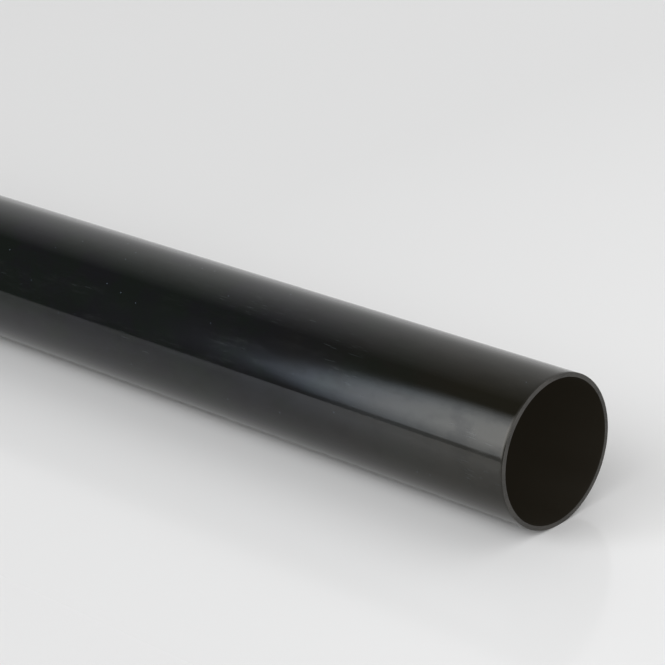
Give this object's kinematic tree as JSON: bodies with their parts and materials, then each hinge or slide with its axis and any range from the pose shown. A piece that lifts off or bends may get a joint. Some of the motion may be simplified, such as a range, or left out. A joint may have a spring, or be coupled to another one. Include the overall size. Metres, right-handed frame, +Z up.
{
  "type": "downpipe",
  "caption": "Plain-ended round rainwater downpipe in black plastic, sawn square at both ends, lying on its side.",
  "frame": {"origin": "on the level surface that the pipe lies on, under its axis, at the middle of its length", "axes": "+X along the pipe's axis, towards the open end that the picture shows; +Z up; the axis is one outside radius above the surface"},
  "size_m": [2.5, 0.068, 0.0678],
  "materials": {
    "pipe": "smooth black rigid PVC with a soft gloss, as extruded; the sawn ends are matte dark grey"
  },
  "bodies": {
    "root": {"pipe": "pipe"}
  },
  "joints": []
}
